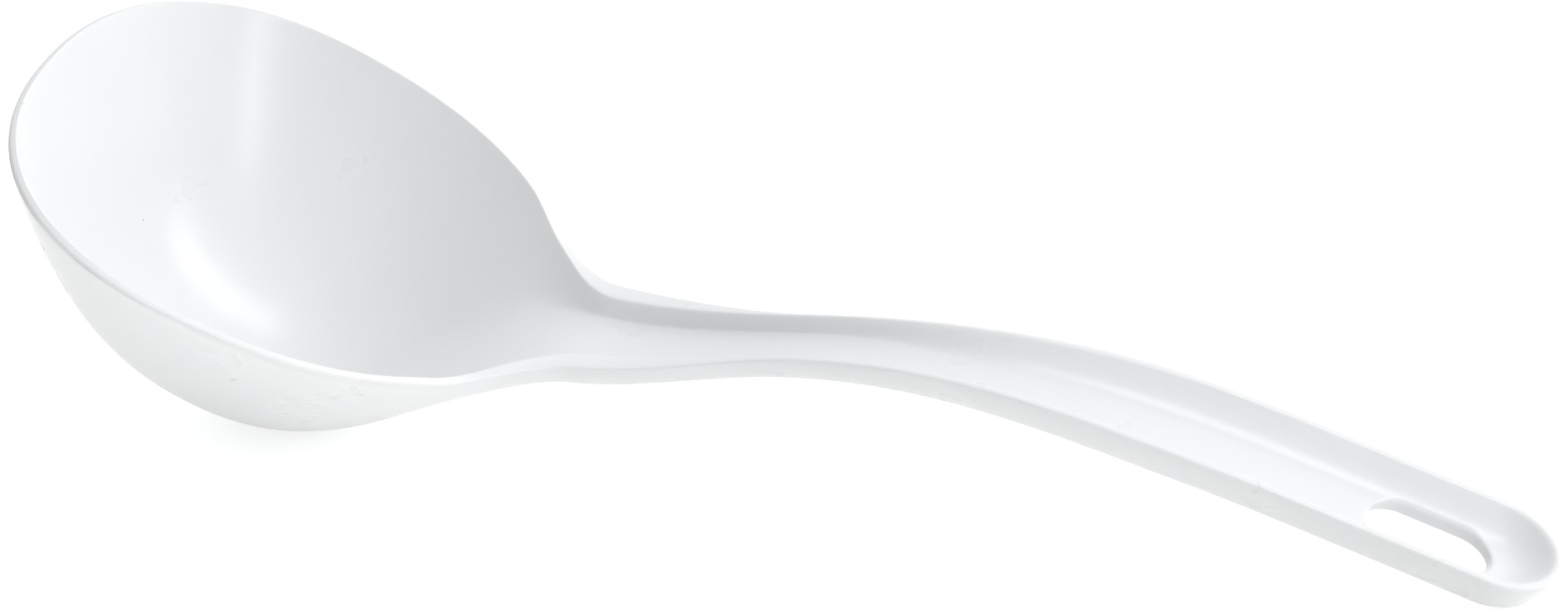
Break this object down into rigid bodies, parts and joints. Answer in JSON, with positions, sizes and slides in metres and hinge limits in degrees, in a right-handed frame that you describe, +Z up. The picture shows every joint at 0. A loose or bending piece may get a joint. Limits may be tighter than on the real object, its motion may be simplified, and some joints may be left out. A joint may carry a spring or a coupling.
{
  "type": "serving spoon",
  "caption": "White moulded plastic serving spoon with a deep oval bowl, an arched channel-shaped handle and a long hanging slot near its round end.",
  "frame": {"origin": "centre of the bounding box's bottom, on the table that the spoon rests on", "axes": "+X along the spoon from the bowl's tip to the handle's end, +Y across it, +Z up from the table"},
  "size_m": [0.2602, 0.089, 0.0615],
  "materials": {
    "white_plastic": "smooth moulded gloss"
  },
  "bodies": {
    "root": {"bowl": "white_plastic", "neck": "white_plastic", "handle": "white_plastic", "hanging_end": "white_plastic"}
  },
  "joints": []
}
